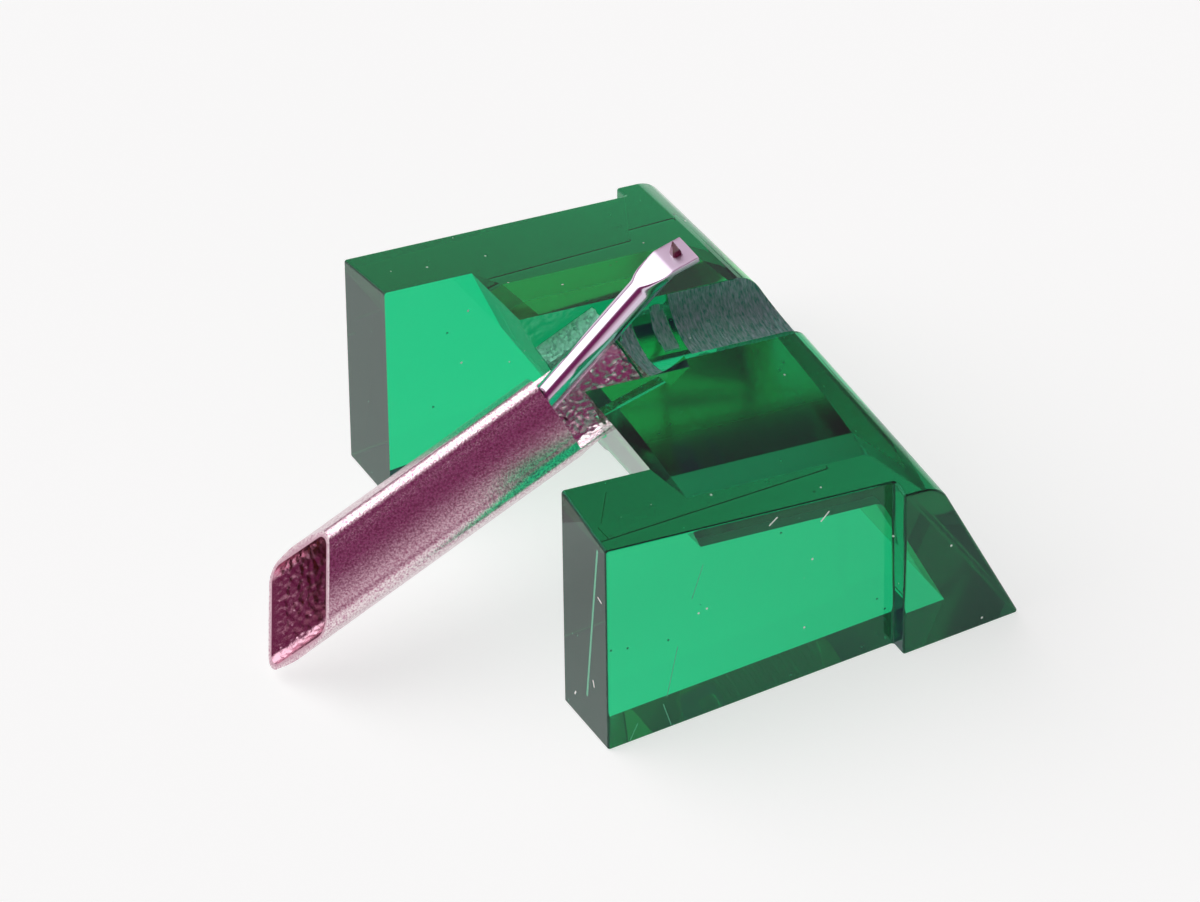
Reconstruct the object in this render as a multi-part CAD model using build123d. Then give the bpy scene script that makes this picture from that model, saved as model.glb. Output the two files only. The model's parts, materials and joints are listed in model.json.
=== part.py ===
from build123d import *
import os
from math import cos, radians, sin, sqrt, tan

# Driving dimensions in millimetres and degrees.
# The unit lies tip up on its two legs: X runs forward to the stylus, Y across, Z up from the resting plane.

# Moulded holder
HOLDER_WIDTH = 12.8
LEG_THICKNESS = 2.08
LEG_HEIGHT = 6.06
ROOF_RISE_ANGLE = 10.1
ROOF_FALL_ANGLE = 7.9
BRIDGE_THICKNESS = 1.85
RIB_DEPTH = 0.45
RIB_WIDTH = 3.2
FLANGE_FOOT = 3.21
FLANGE_PROUD = 0.49
TOE_REACH = 10.99
FRONT_LEAN = 24.9
FRONT_WALL = 1.3
CEILING_RADIUS = 0.4
FRONT_EDGE_RADIUS = 0.8
EDGE_RADIUS = 0.07

# Pocket for the shank and channel for the cantilever, both open through the roof
POCKET_WIDTH = 3.15
POCKET_REACH = 2.45
CHANNEL_WIDTH = 2.4
CHANNEL_DEPTH = 1.0
BEAD_HEIGHT = 0.8
BEAD_OVERHANG = 0.18
SEAT_WALL = 0.35

# Square shank tube, set on edge; its axis enters the holder's rear face at this point
SHANK_ENTRY_X = 2.81
SHANK_ENTRY_Z = 4.99
SHANK_ANGLE = 21.5
SHANK_SIDE = 2.1
SHANK_CORNER = 0.38
SHANK_WALL = 0.1
SHANK_REACH = 8.15
SHANK_CUT_ANGLE = 46.0
NOTCH_GAP = 0.69
SEAT_LENGTH = 1.7

# Cantilever, raked up from the shank, with its pinched tip
PIVOT_DEPTH = 2.68
RAKE_ANGLE = 18.6
CANTILEVER_DIAMETER = 0.68
CANTILEVER_WALL = 0.07
CANTILEVER_TAIL = 0.95
BEND_LENGTH = 6.43
PINCH_LENGTH = 0.85
TIP_LENGTH = 0.71
TIP_WIDTH = 0.93
TIP_THICKNESS = 0.34
TIP_ANGLE = 12.0
TIP_FLAT_DEPTH = 0.05

# Stylus stone, set through the pinched tip
STONE_WIDTH = 0.28
STONE_HEIGHT = 0.4
STONE_SHOULDER = 0.08
STONE_POINT = 0.03
STONE_SETBACK = 0.36

# Moving magnet and its suspension inside the shank
BEARING_LENGTH = 0.9
COLLAR_LENGTH = 0.8
COLLAR_WALL = 0.09
COLLAR_GAP = 0.1
MAGNET_LENGTH = 1.05
WIRE_DIAMETER = 0.1
WIRE_GAP = 0.12
ANCHOR_GAP = 0.5
ANCHOR_LENGTH = 0.8

# Clearances
SEAT_CLEARANCE = 0.03
BEARING_CLEARANCE = 0.02
SWING_CLEARANCE = 0.06
GLUE_GAP = 0.01

# Values that follow from the driving dimensions
HALF_WIDTH = HOLDER_WIDTH / 2
HALF_GAP = HALF_WIDTH - LEG_THICKNESS
HALF_FLANGE = HALF_WIDTH + FLANGE_PROUD
ROOF_RISE = tan(radians(ROOF_RISE_ANGLE))
ROOF_FALL = tan(radians(ROOF_FALL_ANGLE))
FRONT_SLOPE = tan(radians(FRONT_LEAN))
REAR_SLOPE = tan(radians(SHANK_ANGLE))
HALF_DIAGONAL = SHANK_SIDE / sqrt(2)
BORE_SIDE = SHANK_SIDE - 2 * SHANK_WALL
BORE_CORNER = SHANK_CORNER - SHANK_WALL
LIP_HALF_WIDTH = HALF_DIAGONAL - SHANK_CORNER * (sqrt(2) - 1)
ARM_ANGLE = SHANK_ANGLE + RAKE_ANGLE
ARM_RADIUS = CANTILEVER_DIAMETER / 2
MAGNET_END = CANTILEVER_TAIL + MAGNET_LENGTH
CUT_SIZE = 4 * HOLDER_WIDTH


def roof_height(x, y):
    """Height of the gabled roof over a point of the plan."""
    return LEG_HEIGHT + ROOF_RISE * (HALF_WIDTH - abs(y)) - ROOF_FALL * x


def upright(angle):
    """Direction in the middle plane at an angle above the forward axis."""
    return Vector(cos(radians(angle)), 0, sin(radians(angle)))


def shank_plane(station):
    """Plane square to the shank axis, forward of the rear face; its x runs across and its y up from the axis."""
    along = upright(SHANK_ANGLE)
    return Plane(Vector(SHANK_ENTRY_X, 0, SHANK_ENTRY_Z) + along * station, x_dir=(0, 1, 0), z_dir=along)


def arm_plane(station):
    """Plane square to the cantilever's straight run, forward of its pivot."""
    along = upright(ARM_ANGLE)
    return Plane(shank_plane(-PIVOT_DEPTH).origin + along * station, x_dir=(0, 1, 0), z_dir=along)


def tip_plane(station, angle=TIP_ANGLE):
    """Plane across the pinched tip, forward of the bend."""
    start = arm_plane(BEND_LENGTH).origin + upright(TIP_ANGLE) * station
    return Plane(start, x_dir=(0, 1, 0), z_dir=upright(angle))


def stone_plane():
    """Plane of the tip's flat upper face, centred where the stone stands; its normal is the stone's axis."""
    at = tip_plane(TIP_LENGTH - STONE_SETBACK)
    top = at.origin + at.y_dir * (TIP_THICKNESS / 2 - TIP_FLAT_DEPTH)
    return Plane(top, x_dir=at.z_dir, z_dir=at.y_dir)


def side_prism(points, start, stop):
    """Solid of a side outline, given as X and Z pairs, between two Y positions."""
    outline = make_face(Polyline(*[(x, stop, z) for x, z in points], close=True))
    return extrude(outline, amount=stop - start, dir=(0, -1, 0))


def prism(plane, section, length):
    """Solid of a flat section carried along its plane's normal."""
    return extrude(plane * section, amount=length)


def half_space(plane):
    """All that lies on the side of a plane to which its normal points."""
    return plane * Box(CUT_SIZE, CUT_SIZE, CUT_SIZE, align=(Align.CENTER, Align.CENTER, Align.MIN))


def diamond(side, corner):
    """Square set on edge, with rounded corners."""
    return Rot(0, 0, 45) * RectangleRounded(side, side, corner)


def holder_half():
    """One side of the holder: a leg, half the bridge and half the leaning front flange, under one roof plane."""
    peak = roof_height(0, 0) + LEG_HEIGHT
    flange_start = TOE_REACH - FLANGE_FOOT
    leg = side_prism([(0, 0), (TOE_REACH, 0), (TOE_REACH, peak), (0, peak)], 0, HALF_WIDTH)
    flange = side_prism([(flange_start, 0), (TOE_REACH, 0), (TOE_REACH, peak), (flange_start, peak)],
                        HALF_GAP, HALF_FLANGE)
    roof = Plane((0, HALF_WIDTH, LEG_HEIGHT), x_dir=(1, 0, -ROOF_FALL), z_dir=(ROOF_FALL, ROOF_RISE, 1))
    lean = Plane((TOE_REACH, 0, 0), x_dir=(0, 1, 0), z_dir=(1, 0, FRONT_SLOPE))
    half = leg + flange - half_space(roof) - half_space(lean)
    front = half.faces().sort_by(lambda face: face.normal_at().dot(Vector(1, 0, FRONT_SLOPE)))[-1]
    top_edge = front.edges().sort_by(lambda edge: edge.center().Z)[-1]
    half = fillet(top_edge, FRONT_EDGE_RADIUS)
    outer_edges = half.edges().filter_by(lambda edge: edge.center().Y > EDGE_RADIUS)
    return fillet(outer_edges, EDGE_RADIUS)


def hollow():
    """Space between the legs: the cavity under the bridge and all that lies behind its leaning rear face."""
    ceiling = roof_height(0, HALF_GAP) - BRIDGE_THICKNESS
    rear_x = (SHANK_ENTRY_X - REAR_SLOPE * (ceiling - SHANK_ENTRY_Z)) / (1 - REAR_SLOPE * ROOF_FALL)
    wall_foot = TOE_REACH - FRONT_WALL
    wall_x = (wall_foot - FRONT_SLOPE * ceiling) / (1 - FRONT_SLOPE * ROOF_FALL)
    corner = (wall_x, ceiling - ROOF_FALL * wall_x)
    rise = roof_height(0, 0)
    space = side_prism([(-rise, -rise), (wall_foot + FRONT_SLOPE * rise, -rise), corner,
                        (rear_x, ceiling - ROOF_FALL * rear_x),
                        (rear_x - REAR_SLOPE * 2 * rise, ceiling - ROOF_FALL * rear_x + 2 * rise), (-rise, 3 * rise)],
                       -HALF_GAP, HALF_GAP)
    edges = space.edges().filter_by(Axis.Y)
    inner_corner = edges.sort_by(lambda edge: (edge.center() - Vector(corner[0], 0, corner[1])).length)[0]
    return fillet(inner_corner, CEILING_RADIUS)


def bridge_rib():
    """Thickening under the bridge: it slopes down from both legs to a flat along the middle."""
    ceiling = roof_height(0, HALF_GAP) - BRIDGE_THICKNESS
    middle = RIB_WIDTH / 2
    outline = make_face(Polyline((0, -HALF_GAP, ceiling + RIB_DEPTH), (0, -HALF_GAP, ceiling),
                                 (0, -middle, ceiling - RIB_DEPTH), (0, middle, ceiling - RIB_DEPTH),
                                 (0, HALF_GAP, ceiling), (0, HALF_GAP, ceiling + RIB_DEPTH), close=True))
    rib = extrude(outline, amount=TOE_REACH, dir=(1, 0, -ROOF_FALL))
    rear = Plane(shank_plane(0).origin, x_dir=(0, 1, 0), z_dir=-upright(SHANK_ANGLE))
    inside_wall = Plane((TOE_REACH - FRONT_WALL / 2, 0, 0), x_dir=(0, 1, 0), z_dir=(1, 0, FRONT_SLOPE))
    return rib - half_space(rear) - half_space(inside_wall)


def seat_boss():
    """Rib under the bridge that carries the shank's lower edges."""
    return prism(shank_plane(0), diamond(SHANK_SIDE + 2 * SEAT_WALL, SHANK_CORNER + SEAT_WALL), SEAT_LENGTH)


def pocket():
    """Slot over the shank's trough: its floor follows the shank axis and its front wall leans to the channel."""
    seat_end = SEAT_LENGTH + SEAT_CLEARANCE
    rear = shank_plane(-SHANK_REACH).origin
    end = shank_plane(seat_end).origin
    front_x = SHANK_ENTRY_X + POCKET_REACH
    front_z = roof_height(front_x, 0)
    slot = side_prism([(rear.X, rear.Z), (end.X, end.Z), (front_x, front_z), (front_x, 2 * front_z),
                       (rear.X, 2 * front_z)], -POCKET_WIDTH / 2, POCKET_WIDTH / 2)
    seat_section = diamond(SHANK_SIDE + 2 * SEAT_CLEARANCE, SHANK_CORNER + SEAT_CLEARANCE)
    return slot + prism(shank_plane(-SHANK_REACH), seat_section, SHANK_REACH + seat_end)


def channel():
    """Round-bottomed groove under the cantilever, running down the roof and out through the front face."""
    half = CHANNEL_WIDTH / 2
    radius = (half ** 2 + CHANNEL_DEPTH ** 2) / (2 * CHANNEL_DEPTH)
    start_x = SHANK_ENTRY_X + SEAT_LENGTH
    start = Vector(start_x, 0, roof_height(start_x, half) - CHANNEL_DEPTH + radius)
    return prism(Plane(start, x_dir=(0, 1, 0), z_dir=(1, 0, -ROOF_FALL)), Circle(radius), TOE_REACH)


def bead():
    """Ridge of upset plastic along one pocket wall, turned in over the trough's lip to hold the shank down."""
    inner = LIP_HALF_WIDTH - BEAD_OVERHANG
    foot = LIP_HALF_WIDTH + SEAT_CLEARANCE
    wall = POCKET_WIDTH / 2 + BEAD_OVERHANG
    outline = Polyline((foot, -BEAD_OVERHANG), (wall, -BEAD_OVERHANG), (wall, BEAD_HEIGHT),
                       (inner, BEAD_HEIGHT / 2), (inner, SEAT_CLEARANCE), (foot, SEAT_CLEARANCE), close=True)
    return prism(shank_plane(0), make_face(outline), SEAT_LENGTH)


def stylus_holder():
    """Transparent one-piece moulding with two legs, a bridge, a front flange, pocket, channel and beads."""
    far_half = holder_half()
    body = far_half + mirror(far_half, about=Plane.XZ) - hollow()
    body = body + bridge_rib() + seat_boss() - pocket() - channel()
    return body + bead() + mirror(bead(), about=Plane.XZ)


def carrier_tube():
    """Thin square tube set on edge, cut slantwise behind; its front end is opened to a trough."""
    lead = HALF_DIAGONAL * tan(radians(SHANK_CUT_ANGLE))
    rear = shank_plane(-SHANK_REACH - lead)
    length = lead + SHANK_REACH + SEAT_LENGTH
    tube = prism(rear, diamond(SHANK_SIDE, SHANK_CORNER), length) - prism(rear, diamond(BORE_SIDE, BORE_CORNER), length)
    tube = tube - half_space(shank_plane(-SHANK_REACH) * Plane.XY.rotated((SHANK_CUT_ANGLE + 180, 0, 0)))
    notch = Box(CUT_SIZE, CUT_SIZE, CUT_SIZE, align=(Align.CENTER, Align.MIN, Align.MIN))
    return tube - shank_plane(-NOTCH_GAP) * notch


def cantilever():
    """Drawn aluminium tube, pinched flat at its bent tip and pierced there for the stone."""
    tail = arm_plane(-CANTILEVER_TAIL)
    length = CANTILEVER_TAIL + BEND_LENGTH - PINCH_LENGTH
    tube = prism(tail, Circle(ARM_RADIUS) - Circle(ARM_RADIUS - CANTILEVER_WALL), length)
    flat_section = Ellipse(TIP_WIDTH / 2, TIP_THICKNESS / 2)
    round_end = arm_plane(BEND_LENGTH - PINCH_LENGTH) * Circle(ARM_RADIUS)
    bend = tip_plane(0, (ARM_ANGLE + TIP_ANGLE) / 2) * flat_section
    pinch = loft([round_end, bend]) + loft([bend, tip_plane(TIP_LENGTH) * flat_section])
    face = stone_plane()
    hole_side = STONE_WIDTH + 2 * GLUE_GAP
    hole = prism(face.offset(-TIP_WIDTH), Rectangle(hole_side, hole_side), 2 * TIP_WIDTH)
    return tube + pinch - half_space(face) - hole


def stylus_tip():
    """Ground stone: a square shank through the tip that rises to a four-sided point."""
    face = stone_plane()
    shank = Rectangle(STONE_WIDTH, STONE_WIDTH)
    root = TIP_THICKNESS - TIP_FLAT_DEPTH
    stone = prism(face.offset(-root), shank, root + STONE_SHOULDER)
    point = face.offset(STONE_HEIGHT) * Rectangle(STONE_POINT, STONE_POINT)
    return stone + loft([face.offset(STONE_SHOULDER) * shank, point])


def bearing_rubber():
    """Elastomer ring, ball-shaped outside, that carries the cantilever in the shank's bore."""
    radius = BORE_SIDE / 2 - BEARING_CLEARANCE
    rear = arm_plane(-BEARING_LENGTH / 2)
    ball = Pos(*shank_plane(-PIVOT_DEPTH).origin) * Sphere(radius)
    return (ball & prism(rear, Circle(radius), BEARING_LENGTH)) - prism(rear, Circle(ARM_RADIUS + SWING_CLEARANCE),
                                                                      BEARING_LENGTH)


def magnet_collar():
    """Sleeve that joins the cantilever's tail to the magnet."""
    bore = ARM_RADIUS + GLUE_GAP
    rear = arm_plane(-BEARING_LENGTH / 2 - COLLAR_GAP - COLLAR_LENGTH)
    return prism(rear, Circle(bore + COLLAR_WALL) - Circle(bore), COLLAR_LENGTH)


def magnet():
    """Rod magnet behind the pivot, butted against the cantilever's tail inside the collar."""
    return prism(arm_plane(-MAGNET_END), Circle(ARM_RADIUS), MAGNET_LENGTH)


def anchor_rear():
    """Station of the anchor plug's rear face along the shank."""
    magnet_reach = MAGNET_END * cos(radians(RAKE_ANGLE)) + ARM_RADIUS * sin(radians(RAKE_ANGLE))
    return -PIVOT_DEPTH - magnet_reach - ANCHOR_GAP - ANCHOR_LENGTH


def wire_path(diameter):
    """Round run of the tie wire, parallel to the shank, from the plug's rear face to just behind the magnet."""
    drop = MAGNET_END * sin(radians(RAKE_ANGLE))
    front = -PIVOT_DEPTH - MAGNET_END * cos(radians(RAKE_ANGLE)) - WIRE_GAP
    return prism(shank_plane(anchor_rear()), Pos(0, -drop) * Circle(diameter / 2), front - anchor_rear())


def wire_anchor():
    """Plug bonded in the shank's bore, pierced for the tie wire."""
    section = diamond(BORE_SIDE - 2 * GLUE_GAP, BORE_CORNER)
    return prism(shank_plane(anchor_rear()), section, ANCHOR_LENGTH) - wire_path(WIRE_DIAMETER + 2 * GLUE_GAP)


assembly = {
    "stylus_holder": stylus_holder(),
    "carrier_tube": carrier_tube(),
    "bearing_rubber": bearing_rubber(),
    "cantilever": cantilever(),
    "stylus_tip": stylus_tip(),
    "magnet_collar": magnet_collar(),
    "magnet": magnet(),
    "wire_anchor": wire_anchor(),
    "tie_wire": wire_path(WIRE_DIAMETER),
}

# The finished unit is moved along X so that the origin lies under the middle of its overall length.
FRONT_END = assembly["stylus_holder"].bounding_box().max.X
REAR_END = assembly["carrier_tube"].bounding_box().min.X
CENTRE_X = (FRONT_END + REAR_END) / 2
nodes = {name: Pos(-CENTRE_X, 0, 0) * solid for name, solid in assembly.items()}

os.makedirs("parts", exist_ok=True)
for name, solid in nodes.items():
    export_step(solid, "parts/" + name + ".step")
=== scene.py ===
import json
import math

import bmesh
import bpy
from mathutils import Matrix, Vector, noise


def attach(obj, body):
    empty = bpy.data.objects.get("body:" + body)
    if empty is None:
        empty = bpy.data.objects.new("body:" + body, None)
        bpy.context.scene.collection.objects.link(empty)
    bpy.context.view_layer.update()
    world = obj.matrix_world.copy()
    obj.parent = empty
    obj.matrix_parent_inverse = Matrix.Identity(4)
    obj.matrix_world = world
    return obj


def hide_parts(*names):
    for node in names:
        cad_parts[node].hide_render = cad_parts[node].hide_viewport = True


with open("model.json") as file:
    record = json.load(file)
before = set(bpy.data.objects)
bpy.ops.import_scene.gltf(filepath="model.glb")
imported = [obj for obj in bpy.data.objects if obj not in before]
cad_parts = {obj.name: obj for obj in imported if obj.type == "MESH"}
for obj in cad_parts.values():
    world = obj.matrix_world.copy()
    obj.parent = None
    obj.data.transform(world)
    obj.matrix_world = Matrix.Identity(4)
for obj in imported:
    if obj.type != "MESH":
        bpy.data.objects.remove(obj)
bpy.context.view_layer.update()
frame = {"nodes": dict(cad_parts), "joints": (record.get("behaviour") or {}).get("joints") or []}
MM = 0.001

# Stylus holder
# One injection moulding of clear green acrylic: two legs, a bridge with a gabled roof, a leaning front flange.
# Its mould leaves it polished, apart from the tooled channel under the cantilever, the matt underside of the
# bridge, and the beads of plastic that were melted over the tube's lips to hold it.
SHARP_EDGE = math.radians(27)
WELD_DISTANCE = 1e-4 * MM
FLAT_ANGLE = math.radians(0.1)
CUT_SNAP = 1e-5 * MM
CHANNEL_START = Vector((1.8175, 0, 6.5805)) * MM
CHANNEL_FALL = math.radians(7.9)
CHANNEL_RADIUS = 1.22 * MM
CHANNEL_TOLERANCE = 0.02 * MM
CHANNEL_FACING = 0.05
TOOL_MARK_PITCH = 0.05 * MM
TOOL_MARK_LENGTH = 0.5 * MM
TOOL_MARK_DEPTH = 0.03 * MM
TOOLED_STRIP = (1.7 * MM, 2.2 * MM)
TOOLED_RUN = 3.3 * MM
TOOLED_LOZENGE = (2.7 * MM, 3.15 * MM)
LOZENGE_FROM_MIDDLE = 0.7 * MM
LOZENGE_HALF_WIDTH = 0.45 * MM
LOZENGE_FROST = 0.95
SEAT_FROM_PIVOT = 2.68 * MM
BEAD_LENGTH = 1.7 * MM
BEAD_INNER = 1.14 * MM
BEAD_OUTER = 1.56 * MM
BEAD_TOP = 0.81 * MM
BEAD_MARGIN = 0.01 * MM
BEAD_GRAIN = 0.075 * MM
BEAD_GRAIN_DEPTH = 0.04 * MM
UNDERSIDE_FROM = 1 * MM
UNDERSIDE_ABOVE = 0.2 * MM
UNDERSIDE_FACING = -0.3

swing = frame["joints"][0]
pivot = Vector(swing["pos_m"])
shank_up = Vector(swing["axis"]).normalized()
shank_across = Vector((0, 1, 0))
shank_along = shank_across.cross(shank_up)


def linear(hex_colour):
    """Turns an sRGB hex colour into the linear values that shaders take."""
    values = [int(hex_colour[i:i + 2], 16) / 255 for i in (1, 3, 5)]
    return [v / 12.92 if v <= 0.04045 else ((v + 0.055) / 1.055) ** 2.4 for v in values] + [1]


def add(tree, kind, inputs=None, **settings):
    """Adds a shader node; inputs are values or the sockets that feed them."""
    made = tree.nodes.new("ShaderNode" + kind)
    for name, value in settings.items():
        setattr(made, name, value)
    for name, value in (inputs or {}).items():
        if isinstance(value, bpy.types.NodeSocket):
            tree.links.new(value, made.inputs[name])
        else:
            made.inputs[name].default_value = value
    return made


def new_material(name):
    """An empty material with its node tree, output node and object coordinates."""
    material = bpy.data.materials.new(name)
    material.use_nodes = True
    tree = material.node_tree
    tree.nodes.clear()
    return material, tree, add(tree, "OutputMaterial"), add(tree, "TexCoord").outputs["Object"]


def welded_copy(node):
    """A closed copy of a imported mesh, with its flat faces whole."""
    bm = bmesh.new()
    source = frame["nodes"][node].data
    corners = [bm.verts.new(v.co) for v in source.vertices]
    for face in source.polygons:
        bm.faces.new([corners[i] for i in face.vertices])
    bmesh.ops.remove_doubles(bm, verts=bm.verts, dist=WELD_DISTANCE)
    bmesh.ops.dissolve_limit(bm, verts=bm.verts, edges=bm.edges, angle_limit=FLAT_ANGLE)
    return bm


def slice_marked(bm, layer, direction, pitch):
    """Cuts the marked faces by evenly spaced planes across a direction."""
    spans = [v.co.dot(direction) for f in bm.faces if f[layer] for v in f.verts]
    for i in range(1, int((max(spans) - min(spans)) / pitch) + 1):
        faces = [f for f in bm.faces if f[layer]]
        edges = list({e for f in faces for e in f.edges})
        corners = list({v for f in faces for v in f.verts})
        bmesh.ops.bisect_plane(bm, geom=faces + edges + corners, dist=CUT_SNAP, plane_no=direction,
                               plane_co=direction * (min(spans) + i * pitch))


def piece(name, bm, material, body, slot, *nodes):
    """Makes a smooth object of a mesh, with its sharp edges kept, and sets it on its body."""
    mesh = bpy.data.meshes.new(name)
    bm.to_mesh(mesh)
    bm.free()
    mesh.shade_smooth()
    mesh.set_sharp_from_angle(angle=SHARP_EDGE)
    mesh.materials.append(material)
    obj = bpy.data.objects.new(name, mesh)
    bpy.context.scene.collection.objects.link(obj)
    weighted = obj.modifiers.new("flat_faces_stay_flat", "WEIGHTED_NORMAL")
    weighted.keep_sharp = True
    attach(obj, body)
    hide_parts(*nodes)
    return obj


def on_channel(point):
    """True on the round floor of the channel."""
    along = Vector((math.cos(CHANNEL_FALL), 0, -math.sin(CHANNEL_FALL)))
    offset = point - CHANNEL_START
    from_axis = (offset - along * offset.dot(along)).length
    return offset.x > 0 and abs(from_axis - CHANNEL_RADIUS) < CHANNEL_TOLERANCE


def tooled_here(point):
    """How far a point of the channel is tooled: cut strips at both ends, two frosted lozenges between."""
    if TOOLED_STRIP[0] < point.x < TOOLED_STRIP[1] or point.x > TOOLED_RUN:
        return 1
    middle = sum(TOOLED_LOZENGE) / 2
    along = (point.x - middle) / (TOOLED_LOZENGE[1] - middle)
    across = (abs(point.y) - LOZENGE_FROM_MIDDLE) / LOZENGE_HALF_WIDTH
    return LOZENGE_FROST if along ** 4 + across ** 4 < 1 else 0


def on_bead(point):
    """True on the melted beads along the tube's lips."""
    offset = point - pivot
    station = offset.dot(shank_along) - SEAT_FROM_PIVOT
    height = offset.dot(shank_up)
    return (-BEAD_MARGIN < station < BEAD_LENGTH + BEAD_MARGIN and 0 < height < BEAD_TOP
            and BEAD_INNER < abs(point.y) < BEAD_OUTER)


holder_mesh = welded_copy("stylus_holder")
tooled = holder_mesh.faces.layers.int.new("tooled")
melted = holder_mesh.faces.layers.int.new("melted")
for face in holder_mesh.faces:
    centre = face.calc_center_median()
    face[tooled] = on_channel(centre) and face.normal.z > CHANNEL_FACING
    face[melted] = on_bead(centre)
slice_marked(holder_mesh, tooled, Vector((1, 0, 0)), 0.5 * TOOL_MARK_PITCH)
for cut_direction in (shank_along, shank_up, shank_across):
    slice_marked(holder_mesh, melted, cut_direction, 0.5 * BEAD_GRAIN)
holder_mesh.normal_update()
tooled_mask = holder_mesh.verts.layers.float.new("tooled_mask")
melted_mask = holder_mesh.verts.layers.float.new("melted_mask")
matt_mask = holder_mesh.faces.layers.float.new("matt_mask")
for face in holder_mesh.faces:
    centre = face.calc_center_median()
    within = centre.x > UNDERSIDE_FROM and centre.z > UNDERSIDE_ABOVE
    face[matt_mask] = within and face.normal.z < UNDERSIDE_FACING
for vert in holder_mesh.verts:
    if all(f[tooled] for f in vert.link_faces):
        vert[tooled_mask] = tooled_here(vert.co)
        if vert[tooled_mask] == 1:
            mark = Vector((vert.co.x / TOOL_MARK_PITCH,
                           vert.co.y / TOOL_MARK_LENGTH,
                           vert.co.z / TOOL_MARK_LENGTH))
            vert.co += vert.normal * TOOL_MARK_DEPTH * noise.noise(mark)
    elif all(f[melted] for f in vert.link_faces):
        vert.co += vert.normal * BEAD_GRAIN_DEPTH * noise.noise(vert.co / BEAD_GRAIN)
        vert[melted_mask] = 1

# Clear acrylic deepens in colour with its thickness, and reflects and refracts cleanly where it is polished.
# Scuffs, wipe marks, scratches, nicks, specks and a faint haze of dust break the polish; they are drawn coarser
# than real ones, so as to show. Tooled and melted places look frosted, and the bridge's underside is matt.
ACRYLIC_TINT = "#24FDAF"
ACRYLIC_GLOSS_TINT = "#70FFD0"
ACRYLIC_DEPTH_TINT = "#6DCBBD"
ACRYLIC_DENSITY = 500
ACRYLIC_IOR = 1.49
HAZE_TINT = "#EEDFEA"
HAZE_WEIGHT = 0.05
TOOLED_TINT = "#3F8277"
TOOLED_GLINT_TINT = "#C4BED2"
TOOLED_GLINT_LENGTH = TOOL_MARK_LENGTH / 3
TOOLED_ROUGHNESS = 0.45
TOOLED_OPACITY = 0.65
MELTED_TINT = "#A4FFD8"
MELTED_ROUGHNESS = 0.1
BEAD_CRYSTAL = 0.09 * MM
RELIEF_DEPTH = 0.05 * MM
UNDERSIDE_ROUGHNESS = 0.12
UNDERSIDE_RIM = 3.4 * MM
UNDERSIDE_RIM_ADDS = 0.3
SCUFF_SIZE = 0.35 * MM
SCUFF_ROUGHNESS = 0.1
WIPE_MARK_WIDTH = 0.035 * MM
WIPE_MARK_LENGTH = 6 * MM
WIPE_MARK_LEAN = math.radians(-14)
WIPE_MARK_ROUGHNESS = 0.25
SPECK_TINT = "#E8EFEA"
SPECK_SPACING = 0.22 * MM
SPECK_REACH = 0.14
SPECK_RARITY = 0.962

# Scratches and nicks run between two points of the near leg's end or side, in millimetres.
SCRATCH_TINT = "#5DBB93"
SCRATCH_OPACITY = 0.8
LEG_END = -2.692
LEG_SIDE = -6.4
LONG_SCRATCH = ((LEG_END, -6, 5.8), (LEG_END, -5.4, 1))
LONG_SCRATCH_HALF_WIDTH = 0.038
HAIR_SCRATCHES = [((-0.1, LEG_SIDE, 4.6), (-0.4, LEG_SIDE, 3.7)),
                  ((-0.8, LEG_SIDE, 2.4), (-1.1, LEG_SIDE, 1)),
                  ((-1.2, LEG_SIDE, 0.8), (-1, LEG_SIDE, 0.1)),
                  ((-1.9, LEG_SIDE, 0.5), (-2.1, LEG_SIDE, 0.1))]
HAIR_SCRATCH_HALF_WIDTH = 0.012
NICKS = [((LEG_END, -6, 4.4), (LEG_END, -6.15, 4.35)),
         ((LEG_END, -5.7, 1.65), (LEG_END, -5.75, 1.5)),
         ((LEG_END, -4.85, 0.7), (LEG_END, -4.8, 0.6)),
         ((1.7, LEG_SIDE, 5.05), (1.9, LEG_SIDE, 5.2)),
         ((3.1, LEG_SIDE, 4.6), (3.3, LEG_SIDE, 4.8))]
NICK_HALF_WIDTH = 0.022


def scratch(tree, place, start, end, half_width):
    """Mask of one scratch between two points of the moulding's surface, in millimetres."""
    start = Vector(start) * MM
    run = Vector(end) * MM - start
    offset = add(tree, "VectorMath", {0: place, 1: start}, operation="SUBTRACT").outputs[0]
    share = add(tree, "VectorMath", {0: offset, 1: run / run.length_squared}, operation="DOT_PRODUCT")
    held = add(tree, "Clamp", {"Value": share.outputs["Value"]}).outputs[0]
    nearest = add(tree, "VectorMath", {0: run, "Scale": held}, operation="SCALE").outputs[0]
    apart = add(tree, "VectorMath", {0: offset, 1: nearest}, operation="DISTANCE").outputs["Value"]
    return add(tree, "Math", {0: apart, 1: half_width * MM}, operation="LESS_THAN").outputs[0]


acrylic, tree, output, place = new_material("clear_green_acrylic_polished")
tool_frost = add(tree, "Attribute", attribute_name="tooled_mask").outputs["Fac"]
melt_frost = add(tree, "Attribute", attribute_name="melted_mask").outputs["Fac"]
matt = add(tree, "Attribute", attribute_name="matt_mask").outputs["Fac"]

scored = scratch(tree, place, *LONG_SCRATCH, LONG_SCRATCH_HALF_WIDTH)
for hair in HAIR_SCRATCHES:
    hair_mask = scratch(tree, place, *hair, HAIR_SCRATCH_HALF_WIDTH)
    scored = add(tree, "Math", {0: scored, 1: hair_mask}, operation="MAXIMUM").outputs[0]

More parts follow.
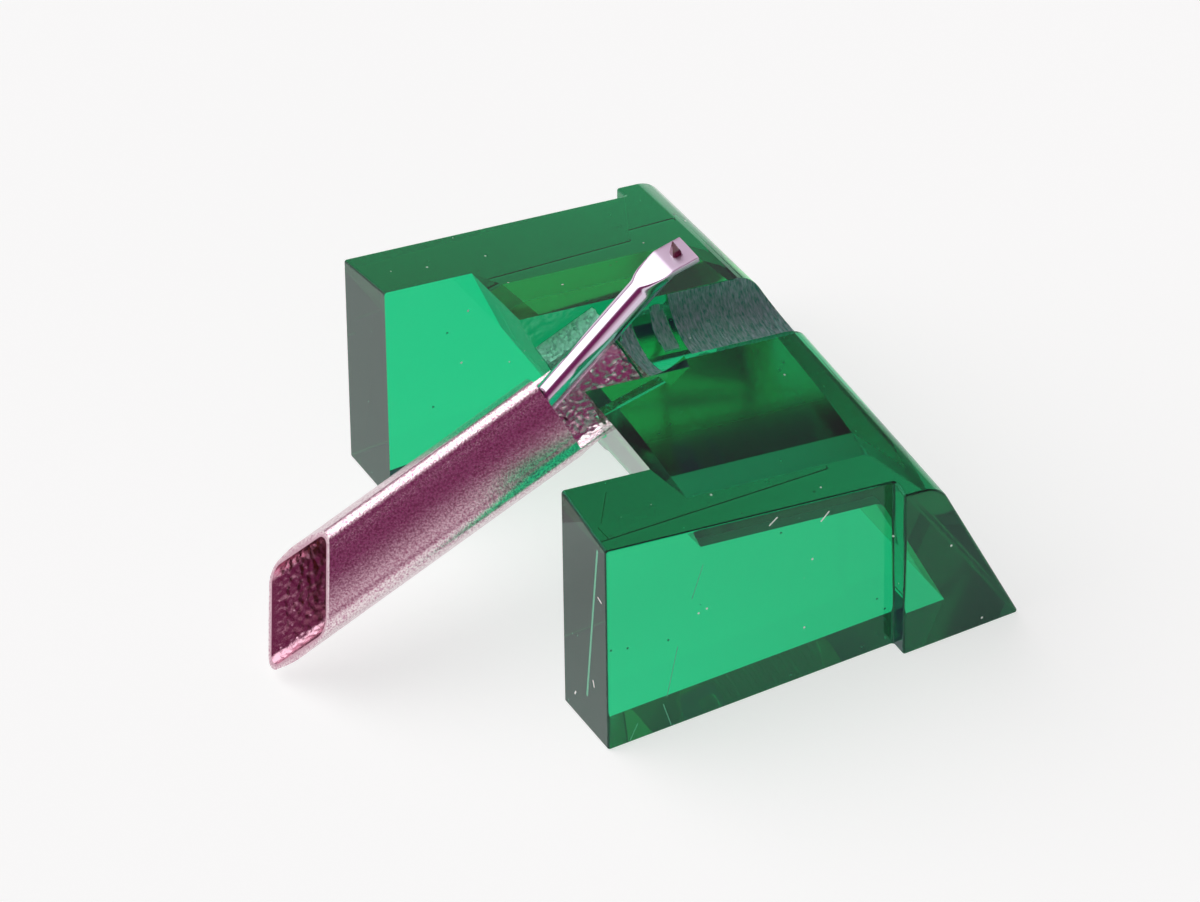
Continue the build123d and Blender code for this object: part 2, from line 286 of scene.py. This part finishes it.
dust = add(tree, "TexVoronoi", {"Vector": place, "Scale": 1 / SPECK_SPACING})
small = add(tree, "Math", {0: dust.outputs["Distance"], 1: SPECK_REACH}, operation="LESS_THAN").outputs[0]
chance = add(tree, "SeparateColor", {"Color": dust.outputs["Color"]}).outputs["Red"]
few = add(tree, "Math", {0: chance, 1: SPECK_RARITY}, operation="GREATER_THAN").outputs[0]
speck = add(tree, "Math", {0: small, 1: few}, operation="MULTIPLY").outputs[0]
for nick in NICKS:
    nick_mask = scratch(tree, place, *nick, NICK_HALF_WIDTH)
    speck = add(tree, "Math", {0: speck, 1: nick_mask}, operation="MAXIMUM").outputs[0]

scuffs = add(tree, "TexNoise", {"Vector": place, "Scale": 1 / SCUFF_SIZE, "Detail": 8, "Roughness": 0.7})
scuffed = add(tree, "MapRange", {"Value": scuffs.outputs["Fac"], "From Min": 0.66, "From Max": 0.8,
                                 "To Max": SCUFF_ROUGHNESS}).outputs[0]
drawn_out = add(tree, "Mapping", {"Vector": place, "Rotation": (0, WIPE_MARK_LEAN, 0),
                                  "Scale": (1 / WIPE_MARK_WIDTH, 1 / WIPE_MARK_WIDTH, 1 / WIPE_MARK_LENGTH)})
marks = add(tree, "TexNoise", {"Vector": drawn_out.outputs[0], "Scale": 1, "Detail": 1})
wiped = add(tree, "MapRange", {"Value": marks.outputs["Fac"], "From Min": 0.77, "From Max": 0.8,
                               "To Max": WIPE_MARK_ROUGHNESS}).outputs[0]
worn = add(tree, "Math", {0: scuffed, 1: wiped}, operation="MAXIMUM").outputs[0]

from_middle = add(tree, "SeparateXYZ", {0: place}).outputs["Y"]
sideways = add(tree, "Math", {0: from_middle}, operation="ABSOLUTE").outputs[0]
rim = add(tree, "Math", {0: sideways, 1: UNDERSIDE_RIM}, operation="GREATER_THAN").outputs[0]
underside = add(tree, "Math", {0: rim, 1: UNDERSIDE_RIM_ADDS, 2: UNDERSIDE_ROUGHNESS},
                operation="MULTIPLY_ADD").outputs[0]
roughness = worn
for mask, rougher in ((tool_frost, TOOLED_ROUGHNESS), (melt_frost, MELTED_ROUGHNESS), (matt, underside)):
    roughness = add(tree, "Math", {0: mask, 1: rougher, 2: roughness}, operation="MULTIPLY_ADD").outputs[0]

cut_marks = add(tree, "Mapping", {"Vector": place, "Scale": (1 / TOOL_MARK_PITCH, 1 / TOOLED_GLINT_LENGTH,
                                                            1 / TOOLED_GLINT_LENGTH)})
grain = add(tree, "TexNoise", {"Vector": cut_marks.outputs[0], "Scale": 1, "Detail": 4}).outputs["Fac"]
glint = add(tree, "MapRange", {"Value": grain, "From Min": 0.32, "From Max": 0.72}).outputs[0]
worked = add(tree, "Mix", {"Factor": glint, "A": linear(TOOLED_TINT), "B": linear(TOOLED_GLINT_TINT)},
             data_type="RGBA").outputs["Result"]
tint = linear(ACRYLIC_TINT)
for mask, layer in ((tool_frost, worked), (melt_frost, linear(MELTED_TINT)),
                    (scored, linear(SCRATCH_TINT)), (speck, linear(SPECK_TINT))):
    tint = add(tree, "Mix", {"Factor": mask, "A": tint, "B": layer}, data_type="RGBA").outputs["Result"]

crystals = add(tree, "TexVoronoi", {"Vector": place, "Scale": 1 / BEAD_CRYSTAL})
pick = add(tree, "SeparateColor", {"Color": crystals.outputs["Color"]}).outputs["Red"]
cloudy = add(tree, "MapRange", {"Value": pick, "From Max": 0.25, "To Min": 0.5}).outputs[0]
opaque = speck
for mask, share in ((tool_frost, TOOLED_OPACITY), (scored, SCRATCH_OPACITY), (melt_frost, cloudy)):
    opaque = add(tree, "Math", {0: mask, 1: share, 2: opaque}, operation="MULTIPLY_ADD").outputs[0]
clear = add(tree, "Math", {0: 1, 1: opaque}, operation="SUBTRACT", use_clamp=True).outputs[0]

tool_height = add(tree, "Math", {0: grain, 1: tool_frost}, operation="MULTIPLY").outputs[0]
height = add(tree, "Math", {0: crystals.outputs["Distance"], 1: melt_frost, 2: tool_height},
             operation="MULTIPLY_ADD").outputs[0]
bump = add(tree, "Bump", {"Height": height, "Distance": RELIEF_DEPTH, "Strength": 0.8})
shader = add(tree, "BsdfPrincipled", {"Base Color": tint, "Roughness": roughness, "IOR": ACRYLIC_IOR,
                                      "Transmission Weight": clear, "Normal": bump.outputs[0],
                                      "Specular Tint": linear(ACRYLIC_GLOSS_TINT),
                                      "Sheen Weight": HAZE_WEIGHT, "Sheen Roughness": 1,
                                      "Sheen Tint": linear(HAZE_TINT)})
depth = add(tree, "VolumeAbsorption", {"Color": linear(ACRYLIC_DEPTH_TINT), "Density": ACRYLIC_DENSITY})
tree.links.new(shader.outputs[0], output.inputs["Surface"])
tree.links.new(depth.outputs[0], output.inputs["Volume"])
piece("holder_moulding", holder_mesh, acrylic, "holder", "clear_green_acrylic", "stylus_holder")

# Carrier tube
# Thin-walled square aluminium tube set on edge, drawn with rounded corners and slightly crowned sides.
# It is sawn off slantwise behind and opened to a trough in front, where the holder's beads grip its lips.
# Its sizes are in millimetres, with stations along it counted from the pivot.
TUBE_SIDE = 2.1
TUBE_CORNER = 0.38
TUBE_WALL = 0.1
TUBE_CROWN = 0.075
TUBE_CROWN_FADE = 0.6
TUBE_REAR = -5.469
TUBE_NOTCH = 1.99
TUBE_FRONT = 4.38
TUBE_CUT_SLOPE = math.tan(math.radians(46))
TUBE_GRID = 0.045
OUTER_GRAIN = 0.05
OUTER_GRAIN_DEPTH = 0.004
INNER_GRAIN = 0.11
INNER_GRAIN_DEPTH = 0.05
PIT_REACH = 0.9
PIT_FADE = 2 * TUBE_WALL
CORNER_STEPS = 6
SIDE_STEPS = 30


def half_profile(side, corner, crown):
    """Upper half of a rounded square set on edge, from one lip over the top to the other, in millimetres."""
    reach = (side / 2 - corner) * math.sqrt(2)
    turns = [math.radians(45 * i / CORNER_STEPS) for i in range(CORNER_STEPS)]
    quarter = [(reach + corner * math.cos(a), corner * math.sin(a)) for a in turns]
    start = Vector((reach, 0)) + Vector((corner, corner)) / math.sqrt(2)
    for i in range(SIDE_STEPS + 1):
        t = i / SIDE_STEPS
        swell = crown * 4 * t * (1 - t) / math.sqrt(2)
        quarter.append(tuple(start + Vector((-reach, reach)) * t + Vector((swell, swell))))
    quarter += [(corner * math.sin(a), reach + corner * math.cos(a)) for a in reversed(turns)]
    return quarter + [(-u, v) for u, v in reversed(quarter[:-1])]


def shank_point(u, v, station):
    """Point of the row frame from shank coordinates in millimetres, counted from the pivot."""
    return pivot + (shank_across * u + shank_up * v + shank_along * station) * MM


def tube_skin(bm, side, corner, crown, grain, depth):
    """Rows of vertices of one wall of the tube: a closed ring up to the notch, the lower half beyond it."""
    half_flat = half_profile(side, corner, 0)
    half_crowned = half_profile(side, corner, crown)
    half = len(half_flat) - 1
    flat, crowned = [p + [(u, -v) for u, v in reversed(p[1:-1])] for p in (half_flat, half_crowned)]
    closed_steps = round((TUBE_NOTCH - TUBE_REAR) / TUBE_GRID)
    open_steps = round((TUBE_FRONT - TUBE_NOTCH) / TUBE_GRID)
    rows = []
    for step in range(closed_steps + open_steps + 1):
        row = []
        for j in range(len(flat)):
            u, v = flat[j]
            rear = TUBE_REAR + v * TUBE_CUT_SLOPE
            if step <= closed_steps:
                station = rear + (TUBE_NOTCH - rear) * step / closed_steps
            else:
                station = TUBE_NOTCH + (TUBE_FRONT - TUBE_NOTCH) * (step - closed_steps) / open_steps
            if step > closed_steps and 0 < j < half:
                row.append(None)
                continue
            swell = min(1, max(0, (TUBE_NOTCH + TUBE_CROWN_FADE - station) / TUBE_CROWN_FADE))
            u, v = Vector(flat[j]).lerp(Vector(crowned[j]), swell)
            fade = min(1, (station - rear) / PIT_FADE)
            lump = depth * fade * (noise.voronoi(Vector((u, v, station)) / grain)[0][0] - PIT_REACH)
            out = Vector((u, v)).normalized() * min(lump, 0)
            row.append(bm.verts.new(shank_point(u + out.x, v + out.y, station)))
        rows.append(row)
    return rows, closed_steps, half


def tube_mesh():
    """Both walls of the tube, joined along the sawn end, the notch, the lips and the trough's front end."""
    bm = bmesh.new()
    bore = bm.verts.layers.float.new("bore")
    trough = bm.verts.layers.float.new("trough")
    outer, notch, half = tube_skin(bm, TUBE_SIDE, TUBE_CORNER, TUBE_CROWN, OUTER_GRAIN, OUTER_GRAIN_DEPTH)
    inner, _, _ = tube_skin(bm, TUBE_SIDE - 2 * TUBE_WALL, TUBE_CORNER - TUBE_WALL, 0,
                            INNER_GRAIN, INNER_GRAIN_DEPTH)
    for vert in (v for row in inner[:notch] for v in row):
        vert[bore] = 1
    for vert in (v for row in inner[notch:] for v in row if v):
        vert[trough] = 1
    count = len(outer[0])
    for step in range(len(outer) - 1):
        for j in range(count):
            k = (j + 1) % count
            if step < notch or j >= half:
                bm.faces.new((outer[step][j], outer[step][k], outer[step + 1][k], outer[step + 1][j]))
                bm.faces.new((inner[step][k], inner[step][j], inner[step + 1][j], inner[step + 1][k]))
        if step >= notch:
            for j in (0, half):
                lip = (outer[step][j], outer[step + 1][j], inner[step + 1][j], inner[step][j])
                bm.faces.new(lip if j else tuple(reversed(lip)))
    for j in range(count):
        k = (j + 1) % count
        bm.faces.new((outer[0][k], outer[0][j], inner[0][j], inner[0][k]))
        end = notch if j < half else -1
        bm.faces.new((outer[end][j], outer[end][k], inner[end][k], inner[end][j]))
    bmesh.ops.recalc_face_normals(bm, faces=bm.faces)
    return bm


# Drawn aluminium, etched to a fine satin grain that glitters, with a pink cast from its lacquered finish.
# Towards the sawn rear end it is painted a little darker and pinker: painted shade for its dimmer reflection
# there.
# Inside the bore it is a deeper maroon: partly the pooled lacquering, partly painted shade for the tube's
# hollow.
# The grain is coarser than real, so as to show.
TUBE_COLOUR = "#F4EBEC"
# Painted shade: the rear part of the tube is coloured a little darker and pinker than its front, standing in
# for its dimmer reflection there.
TUBE_REAR_SHADE_COLOUR = "#EEDFE2"
TUBE_GRAIN_COLOUR = "#BC839D"
# Partly painted shade: the bore's deeper maroon is partly pooled lacquering and partly shade painted into the
# tube's hollow.
BORE_LACQUER_AND_SHADE_COLOUR = "#C79AAA"
TROUGH_COLOUR = "#F8E6EC"
TUBE_GRAIN = 0.05 * MM
TUBE_RELIEF = 0.02 * MM
TUBE_ROUGHNESS = 0.26
TROUGH_ROUGHNESS_ADDS = -0.06
REAR_SHADE_FROM = -7 * MM
REAR_SHADE_TO = 0.5 * MM
tube_metal, tree, output, place = new_material("aluminium_drawn_satin")
grain = add(tree, "TexNoise", {"Vector": place, "Scale": 1 / TUBE_GRAIN, "Detail": 3,
                               "Roughness": 0.6}).outputs["Fac"]
glint = add(tree, "MapRange", {"Value": grain, "From Min": 0.32, "From Max": 0.57}).outputs[0]
forward = add(tree, "SeparateXYZ", {0: place}).outputs["X"]
# The painted shade fades out from the sawn rear end towards the front.
rear_shade_fade = add(tree, "MapRange", {"Value": forward, "From Min": REAR_SHADE_FROM, "From Max": REAR_SHADE_TO}).outputs[0]
in_bore = add(tree, "Attribute", attribute_name="bore").outputs["Fac"]
in_trough = add(tree, "Attribute", attribute_name="trough").outputs["Fac"]
colour = linear(TUBE_COLOUR)
# Layered in turn: the painted rear shade, the grain flecks, the bore's partly painted maroon and the trough.
for mask, under, over in ((rear_shade_fade, linear(TUBE_REAR_SHADE_COLOUR), None), (glint, linear(TUBE_GRAIN_COLOUR), None),
                          (in_bore, None, linear(BORE_LACQUER_AND_SHADE_COLOUR)), (in_trough, None, linear(TROUGH_COLOUR))):
    colour = add(tree, "Mix", {"Factor": mask, "A": under or colour, "B": over or colour},
                 data_type="RGBA").outputs["Result"]
roughness = add(tree, "Math", {0: in_trough, 1: TROUGH_ROUGHNESS_ADDS, 2: TUBE_ROUGHNESS},
                operation="MULTIPLY_ADD").outputs[0]
bump = add(tree, "Bump", {"Height": grain, "Distance": TUBE_RELIEF, "Strength": 0.3})
shader = add(tree, "BsdfPrincipled", {"Base Color": colour, "Metallic": 1, "Roughness": roughness,
                                      "Normal": bump.outputs[0]})
tree.links.new(shader.outputs[0], output.inputs["Surface"])
piece("shank_tube", tube_mesh(), tube_metal, "holder", "drawn_aluminium", "carrier_tube")

# Suspension
# Inside the shank: a moulded butyl rubber bearing, a turned brass collar that joins the magnet to the
# cantilever's tail, a sintered rod magnet, and a drawn steel tie wire held in a turned brass plug that is
# bonded in the bore.


def grained(node, name, dark, light, size, depth, **values):
    """Gives a CAD node a material whose grain drives both its colour and its relief."""
    material, tree, output, place = new_material(name)
    grain = add(tree, "TexNoise", {"Vector": place, "Scale": 1 / size, "Detail": 4}).outputs["Fac"]
    colour = add(tree, "Mix", {"Factor": grain, "A": linear(dark), "B": linear(light)}, data_type="RGBA")
    bump = add(tree, "Bump", {"Height": grain, "Distance": depth, "Strength": 0.5})
    shader = add(tree, "BsdfPrincipled", {"Base Color": colour.outputs["Result"], "Normal": bump.outputs[0],
                                          **values})
    tree.links.new(shader.outputs[0], output.inputs["Surface"])
    frame["nodes"][node].material_slots[0].material = material


# Rubber is matt black with a soft bloom, and brass is yellow with a fine grain. The magnet is dull grey and
# granular, and the wire is bright drawn steel. Each grain is drawn coarser than the real one, so as to show.
grained("bearing_rubber", "butyl_rubber_moulded", "#141415", "#2C2B2D",
        size=0.12 * MM, depth=0.01 * MM, Roughness=0.75)
grained("magnet_collar", "brass_turned", "#A98545", "#D2B26E",
        size=0.05 * MM, depth=0.004 * MM, Metallic=1, Roughness=0.3)
grained("wire_anchor", "brass_turned_plug", "#A07C40", "#CCAA66",
        size=0.06 * MM, depth=0.005 * MM, Metallic=1, Roughness=0.35)
grained("magnet", "magnet_sintered", "#4A4848", "#77767A",
        size=0.06 * MM, depth=0.008 * MM, Metallic=1, Roughness=0.5)
grained("tie_wire", "steel_wire_drawn", "#A7A9AD", "#D0D2D6",
        size=0.03 * MM, depth=0.002 * MM, Metallic=1, Roughness=0.25)

# Cantilever
# Fine drawn aluminium tube that leans up out of the trough, its end pinched flat and bent level for the stone.
# It is glued into the magnet's collar behind the rubber bearing. Its sizes are in millimetres.
ARM_ANGLE = math.radians(40.1)
TIP_ANGLE = math.radians(12)
ARM_RADIUS = 0.34
ARM_TAIL = -0.95
ARM_BEND = 6.43
ARM_PINCH = 0.85
TIP_LENGTH = 0.71
TIP_HALF_WIDTH = 0.465
TIP_TOP = 0.12
TIP_UNDER = 0.17
TIP_SQUARENESS = 10
BEND_EASE = 0.35
ARM_POINTS = 64
STRAIGHT_STATIONS = [ARM_TAIL, 0, 2, 4]
TIP_STEP = 0.04


def upright(angle):
    """Direction in the middle plane at an angle above the forward axis."""
    return Vector((math.cos(angle), 0, math.sin(angle)))


def ease(t):
    """Smooth rise from 0 to 1."""
    t = min(max(t, 0), 1)
    return t * t * (3 - 2 * t)


def arm_ring(station):
    """One section of the cantilever: a circle that spreads to a flat-topped strip at the tip."""
    turn = ease((station - ARM_BEND + BEND_EASE) / (2 * BEND_EASE))
    angle = ARM_ANGLE + (TIP_ANGLE - ARM_ANGLE) * turn
    lead = upright(ARM_ANGLE) * min(station, ARM_BEND) + upright(TIP_ANGLE) * max(station - ARM_BEND, 0)
    normal = Vector((-math.sin(angle), 0, math.cos(angle)))
    flat = ease((station - ARM_BEND + ARM_PINCH) / ARM_PINCH)
    width = ARM_RADIUS + (TIP_HALF_WIDTH - ARM_RADIUS) * flat
    top = ARM_RADIUS + (TIP_TOP - ARM_RADIUS) * flat
    under = ARM_RADIUS + (TIP_UNDER - ARM_RADIUS) * flat
    power = 2 / (2 + TIP_SQUARENESS * flat)
    points = []
    for i in range(ARM_POINTS):
        a = 2 * math.pi * i / ARM_POINTS
        c, s = math.cos(a), math.sin(a)
        if s >= 0:
            u = width * math.copysign(abs(c) ** power, c)
            v = top * s ** power
        else:
            u, v = width * c, under * s
        points.append(pivot + (lead + shank_across * u + normal * v) * MM)
    return points


arm_mesh = bmesh.new()
pressed = arm_mesh.verts.layers.float.new("pressed")
tip_rings = int((ARM_PINCH + TIP_LENGTH) / TIP_STEP) + 1
arm_stations = STRAIGHT_STATIONS + [ARM_BEND - ARM_PINCH + TIP_STEP * i for i in range(tip_rings)]
arm_rings = [[arm_mesh.verts.new(p) for p in arm_ring(s)] for s in arm_stations]
for station, ring in zip(arm_stations, arm_rings):
    for vert in ring:
        vert[pressed] = ease((station - ARM_BEND + BEND_EASE) / BEND_EASE)
for ring, following in zip(arm_rings, arm_rings[1:]):
    for i in range(ARM_POINTS):
        k = (i + 1) % ARM_POINTS
        arm_mesh.faces.new((ring[i], ring[k], following[k], following[i]))
arm_mesh.faces.new(reversed(arm_rings[0]))
arm_mesh.faces.new(arm_rings[-1])
bmesh.ops.recalc_face_normals(arm_mesh, faces=arm_mesh.faces)

# Bright drawn aluminium: nearly a mirror, with faint draw lines along its length that are drawn coarser than
# real ones, so as to show. The pressed flat at its end is satin.
ARM_COLOUR = "#D9CBDD"
ARM_ROUGHNESS = 0.15
PRESSED_ROUGHNESS_ADDS = 0.27
DRAW_LINE = 0.02 * MM
DRAW_LINE_LENGTH = 2 * MM
DRAW_LINE_DEPTH = 0.002 * MM
arm_metal, tree, output, place = new_material("aluminium_drawn_bright")
drawn = add(tree, "Mapping", {"Vector": place, "Rotation": (0, -ARM_ANGLE, 0),
                              "Scale": (DRAW_LINE_LENGTH, DRAW_LINE, DRAW_LINE)}, vector_type="TEXTURE")
lines = add(tree, "TexNoise", {"Vector": drawn.outputs[0], "Scale": 1, "Detail": 2})
bump = add(tree, "Bump", {"Height": lines.outputs["Fac"], "Distance": DRAW_LINE_DEPTH, "Strength": 0.3})
pressed_flat = add(tree, "Attribute", attribute_name="pressed").outputs["Fac"]
roughness = add(tree, "Math", {0: pressed_flat, 1: PRESSED_ROUGHNESS_ADDS, 2: ARM_ROUGHNESS},
                operation="MULTIPLY_ADD").outputs[0]
shader = add(tree, "BsdfPrincipled", {"Base Color": linear(ARM_COLOUR), "Metallic": 1, "Roughness": roughness,
                                      "Normal": bump.outputs[0]})
tree.links.new(shader.outputs[0], output.inputs["Surface"])
piece("arm_tube", arm_mesh, arm_metal, "cantilever_arm", "polished_aluminium", "cantilever")

# Stylus
# Tiny ground garnet-red stone: a square shank through the cantilever's flat, rising to a four-sided point.
# A touch of cement holds it. Its sizes are in millimetres.
STONE_BASE = 0.115
STONE_CHAMFER = 0.04
STONE_SHOULDER = 0.08
STONE_HEIGHT = 0.395
STONE_POINT = 0.015
STONE_ROOT = 0.05
STONE_FROM_BEND = 0.35


def stone_ring(half, chamfer, height):
    """Square with cut corners, across the stone's axis."""
    forward = upright(TIP_ANGLE)
    rise = Vector((-math.sin(TIP_ANGLE), 0, math.cos(TIP_ANGLE)))
    foot = upright(ARM_ANGLE) * ARM_BEND + forward * STONE_FROM_BEND + rise * TIP_TOP
    inner = half - chamfer
    corners = [(half, -inner), (half, inner), (inner, half), (-inner, half),
               (-half, inner), (-half, -inner), (-inner, -half), (inner, -half)]
    return [pivot + (foot + forward * a + shank_across * b + rise * height) * MM for a, b in corners]


stone_mesh = bmesh.new()
stone_levels = [(STONE_BASE, STONE_CHAMFER, -STONE_ROOT),
                (STONE_BASE, STONE_CHAMFER, STONE_SHOULDER),
                (STONE_POINT, STONE_POINT / 2, STONE_HEIGHT)]
stone_rings = [[stone_mesh.verts.new(p) for p in stone_ring(*level)] for level in stone_levels]
for ring, following in zip(stone_rings, stone_rings[1:]):
    for i in range(len(ring)):
        k = (i + 1) % len(ring)
        stone_mesh.faces.new((ring[i], ring[k], following[k], following[i]))
stone_mesh.faces.new(reversed(stone_rings[0]))
stone_mesh.faces.new(stone_rings[-1])
bmesh.ops.recalc_face_normals(stone_mesh, faces=stone_mesh.faces)

# Polished garnet-red stone: dark, with sharp pink glints off its facets.
STONE_COLOUR = "#8A0A44"
STONE_DARK_COLOUR = "#3A0018"
STONE_CLOUD = 0.1 * MM
STONE_ROUGHNESS = 0.08
STONE_IOR = 1.76
stone, tree, output, place = new_material("garnet_polished")
cloud = add(tree, "TexNoise", {"Vector": place, "Scale": 1 / STONE_CLOUD, "Detail": 2})
colour = add(tree, "ValToRGB", {"Fac": cloud.outputs["Fac"]})
colour.color_ramp.elements[0].color = linear(STONE_DARK_COLOUR)
colour.color_ramp.elements[1].color = linear(STONE_COLOUR)
shader = add(tree, "BsdfPrincipled", {"Base Color": colour.outputs["Color"], "Roughness": STONE_ROUGHNESS,
                                      "IOR": STONE_IOR})
tree.links.new(shader.outputs[0], output.inputs["Surface"])
piece("stylus_stone", stone_mesh, stone, "cantilever_arm", "garnet_stone", "stylus_tip")

# Table and light
# The unit lies on a white light panel in a dim room, with a pale wall in front and a large softbox behind it on
# the left. The panel's glow leaves only a faint shadow. Polished and clear surfaces see the room as dark plum;
# matt ones are lit as by a grey room, so that they take no pink cast.
TABLE_SIZE = 4000 * MM
TABLE_GAP = 0.02 * MM
TABLE_COLOUR = "#B0AEAE"
GLOW_COLOUR = "#FFFFFF"
TABLE_GLOW = 0.67
ROOM_COLOUR = "#78265A"
ROOM_GREY = "#5A5A5A"
WALL_COLOUR = "#F2DCE5"
WALL_TOWARD = Vector((-0.2, -0.97, 0.1)).normalized()
WALL_EDGE_COSINE = 0.85
WALL_FULL_COSINE = 0.99
HORIZON_COLOUR = "#FBFAFA"
HORIZON_TOP = math.radians(5)
HORIZON_FADE = math.radians(7)
SOFTBOX_TOWARD = Vector((-0.55, 0.45, 0.7)).normalized()
SOFTBOX_HALF_ANGLE = math.radians(27)
SOFTBOX_EDGE = math.radians(16)
SOFTBOX_STRENGTH = 2.2

bpy.ops.mesh.primitive_plane_add(size=TABLE_SIZE, location=(0, 0, -TABLE_GAP))
table = bpy.context.object
table.name = "table"
board, tree, output, place = new_material("opal_light_panel")
paper = add(tree, "BsdfDiffuse", {"Color": linear(TABLE_COLOUR)})
glow = add(tree, "Emission", {"Color": linear(GLOW_COLOUR), "Strength": TABLE_GLOW})
panel = add(tree, "AddShader", {0: paper.outputs[0], 1: glow.outputs[0]})
tree.links.new(panel.outputs[0], output.inputs["Surface"])
table.data.materials.append(board)

world = bpy.data.worlds.new("dim_room")
world.use_nodes = True
bpy.context.scene.world = world
tree = world.node_tree
tree.nodes.clear()
output = add(tree, "OutputWorld")
direction = add(tree, "TexCoord").outputs["Generated"]
rise = add(tree, "SeparateXYZ", {0: direction}).outputs["Z"]
low = add(tree, "MapRange", {"Value": rise, "From Min": math.sin(HORIZON_TOP + HORIZON_FADE),
                             "From Max": math.sin(HORIZON_TOP)}, interpolation_type="SMOOTHSTEP").outputs[0]
toward_wall = add(tree, "VectorMath", {0: direction, 1: WALL_TOWARD}, operation="DOT_PRODUCT")
wall = add(tree, "MapRange", {"Value": toward_wall.outputs["Value"], "From Min": WALL_EDGE_COSINE,
                              "From Max": WALL_FULL_COSINE}).outputs[0]
scattered = add(tree, "LightPath").outputs["Is Diffuse Ray"]
facing = add(tree, "VectorMath", {0: direction, 1: SOFTBOX_TOWARD}, operation="DOT_PRODUCT")
softbox = add(tree, "MapRange", {"Value": facing.outputs["Value"],
                                 "From Min": math.cos(SOFTBOX_HALF_ANGLE + SOFTBOX_EDGE),
                                 "From Max": math.cos(SOFTBOX_HALF_ANGLE)},
              interpolation_type="SMOOTHSTEP").outputs[0]
sky = linear(ROOM_COLOUR)
for mask, layer in ((wall, linear(WALL_COLOUR)), (scattered, linear(ROOM_GREY)), (low, linear(HORIZON_COLOUR)),
                    (softbox, [SOFTBOX_STRENGTH] * 3 + [1])):
    sky = add(tree, "Mix", {"Factor": mask, "A": sky, "B": layer}, data_type="RGBA").outputs["Result"]
background = add(tree, "Background", {"Color": sky, "Strength": 1})
tree.links.new(background.outputs[0], output.inputs["Surface"])

# Camera
# It stands where the photograph was taken from, with a long lens.
VIEW_AZIMUTH = math.radians(-28.888)
VIEW_ELEVATION = math.radians(38.881)
VIEW_ROLL = math.radians(-0.863)
CAMERA_PLACE = Vector((-91.340, -166.870, 156.896)) * MM
CAMERA_LENS = 307.62
CAMERA_SENSOR = 36
CAMERA_NEAR = 10 * MM
CAMERA_FAR = 10000 * MM
camera_turn = (Matrix.Rotation(VIEW_AZIMUTH, 4, "Z") @ Matrix.Rotation(math.pi / 2 - VIEW_ELEVATION, 4, "X")
               @ Matrix.Rotation(VIEW_ROLL, 4, "Z"))
camera_data = bpy.data.cameras.new("camera")
camera_data.sensor_width = CAMERA_SENSOR
camera_data.lens = CAMERA_LENS
camera_data.clip_start = CAMERA_NEAR
camera_data.clip_end = CAMERA_FAR
camera = bpy.data.objects.new("camera", camera_data)
bpy.context.scene.collection.objects.link(camera)
camera.matrix_world = Matrix.Translation(CAMERA_PLACE) @ camera_turn
bpy.context.scene.camera = camera
bpy.context.scene.view_settings.view_transform = "Standard"
